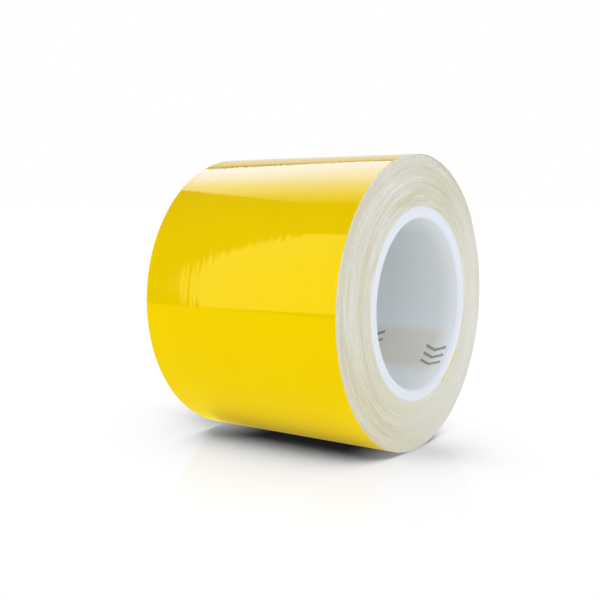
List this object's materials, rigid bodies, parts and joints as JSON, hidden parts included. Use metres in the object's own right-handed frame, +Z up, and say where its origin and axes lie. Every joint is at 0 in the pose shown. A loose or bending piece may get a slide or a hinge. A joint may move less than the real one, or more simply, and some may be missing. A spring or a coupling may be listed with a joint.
{
  "type": "roll of sign vinyl",
  "caption": "Roll of glossy self-adhesive sign vinyl wound on a plastic core, lying on its side with a dished end and a loose tail whose film parts from its liner.",
  "frame": {"origin": "centre of the core, on the axis of its bore, midway along the core", "axes": "+Y along the core's axis, away from the dished end that the first view shows; +Z up with the roll lying on its side; +X towards the side that carries the loose tail"},
  "size_m": [0.1322, 0.1039, 0.1322],
  "materials": {
    "core": "satin",
    "lap_edges": "matte",
    "liner": "satin",
    "adhesive": "gloss",
    "film": "gloss",
    "tape": "satin"
  },
  "bodies": {
    "roll": {"core_tube": "core", "liner_leader": "liner", "film_leader": "film", "lap_bundle_1": "lap_edges", "lap_bundle_2": "lap_edges", "lap_bundle_3": "lap_edges", "lap_bundle_4": "lap_edges", "lap_bundle_5": "lap_edges", "lap_bundle_6": "lap_edges", "lap_bundle_7": "lap_edges", "lap_bundle_8": "lap_edges", "outer_liner": "liner", "outer_adhesive": "adhesive", "outer_film": "film"},
    "tail_backing": {"tail_liner": "liner", "stuck_adhesive": "adhesive", "stuck_film": "film"},
    "tail_face": {"peeled_adhesive": "adhesive", "peeled_film": "film", "closing_tape": "tape"}
  },
  "joints": [
    {"name": "tail_lift", "type": "hinge", "parent": "roll", "child": "tail_backing", "pos_m": [0.01381, 0.0023, 0.06497], "axis": [0, -1, 0], "range_deg": [0, 60]},
    {"name": "film_peel", "type": "hinge", "parent": "tail_backing", "child": "tail_face", "pos_m": [0.02809, 0.0023, 0.06024], "axis": [0, -1, 0], "range_deg": [0, 75]}
  ]
}
